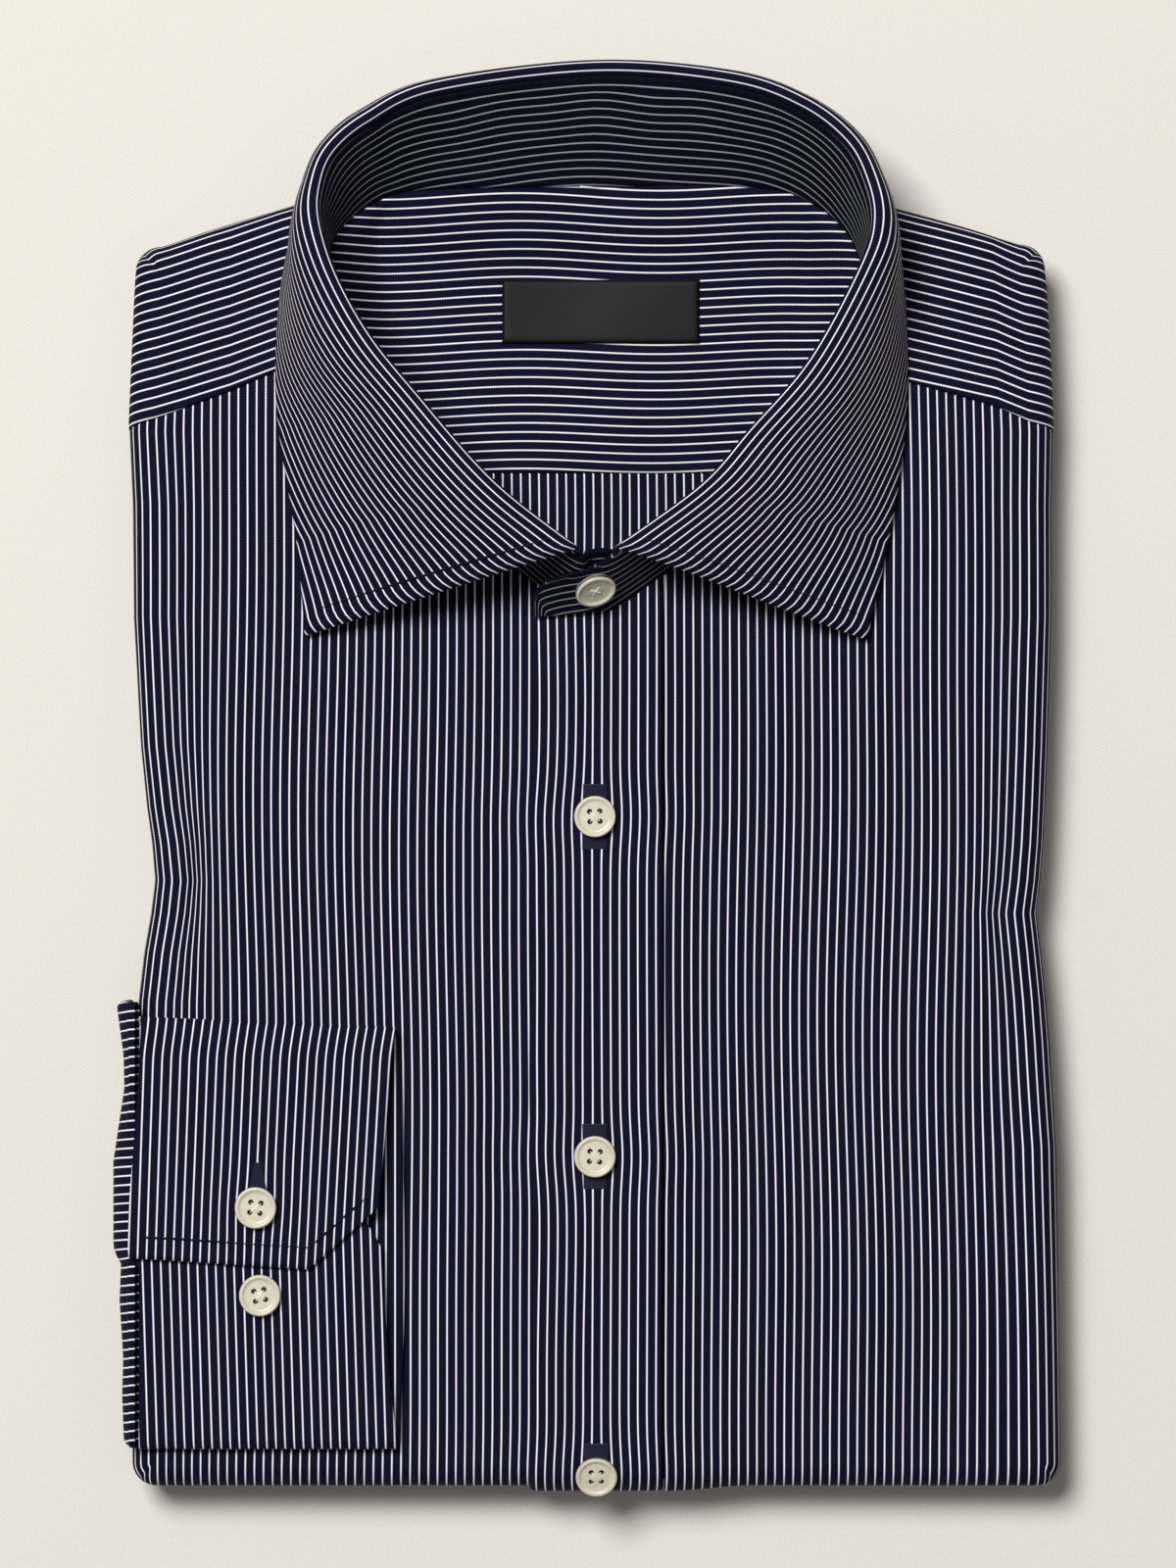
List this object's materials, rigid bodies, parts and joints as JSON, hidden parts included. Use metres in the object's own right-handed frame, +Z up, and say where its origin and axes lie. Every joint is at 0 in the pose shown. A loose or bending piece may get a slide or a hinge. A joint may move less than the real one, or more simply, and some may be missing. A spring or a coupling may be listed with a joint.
{
  "type": "folded dress shirt",
  "caption": "Folded men's dress shirt in striped cotton, lying on its back with a spread collar and one cuff folded over the front.",
  "frame": {"origin": "middle of the shirt's plan on the surface it lies on", "axes": "+Y runs from the hem fold to the collar, +Z is up from the surface, +X is to the right of the view from above"},
  "size_m": [0.2593, 0.3922, 0.0522],
  "materials": {
    "shirt_cotton": "matte",
    "button_resin": "satin",
    "label_satin": "satin"
  },
  "bodies": {
    "root": {"folded_layers": "shirt_cotton", "front_right": "shirt_cotton", "front_left": "shirt_cotton", "placket": "shirt_cotton", "yoke_outer": "shirt_cotton", "yoke_inner": "shirt_cotton", "back_inside": "shirt_cotton", "neck_label": "label_satin", "collar_leaf": "shirt_cotton", "collar_stand": "shirt_cotton", "cuff": "shirt_cotton", "sleeve_end": "shirt_cotton", "button_band": "button_resin", "button_front_upper": "button_resin", "button_front_middle": "button_resin", "button_front_lower": "button_resin", "button_cuff": "button_resin", "button_cuff_spare": "button_resin"}
  },
  "joints": []
}
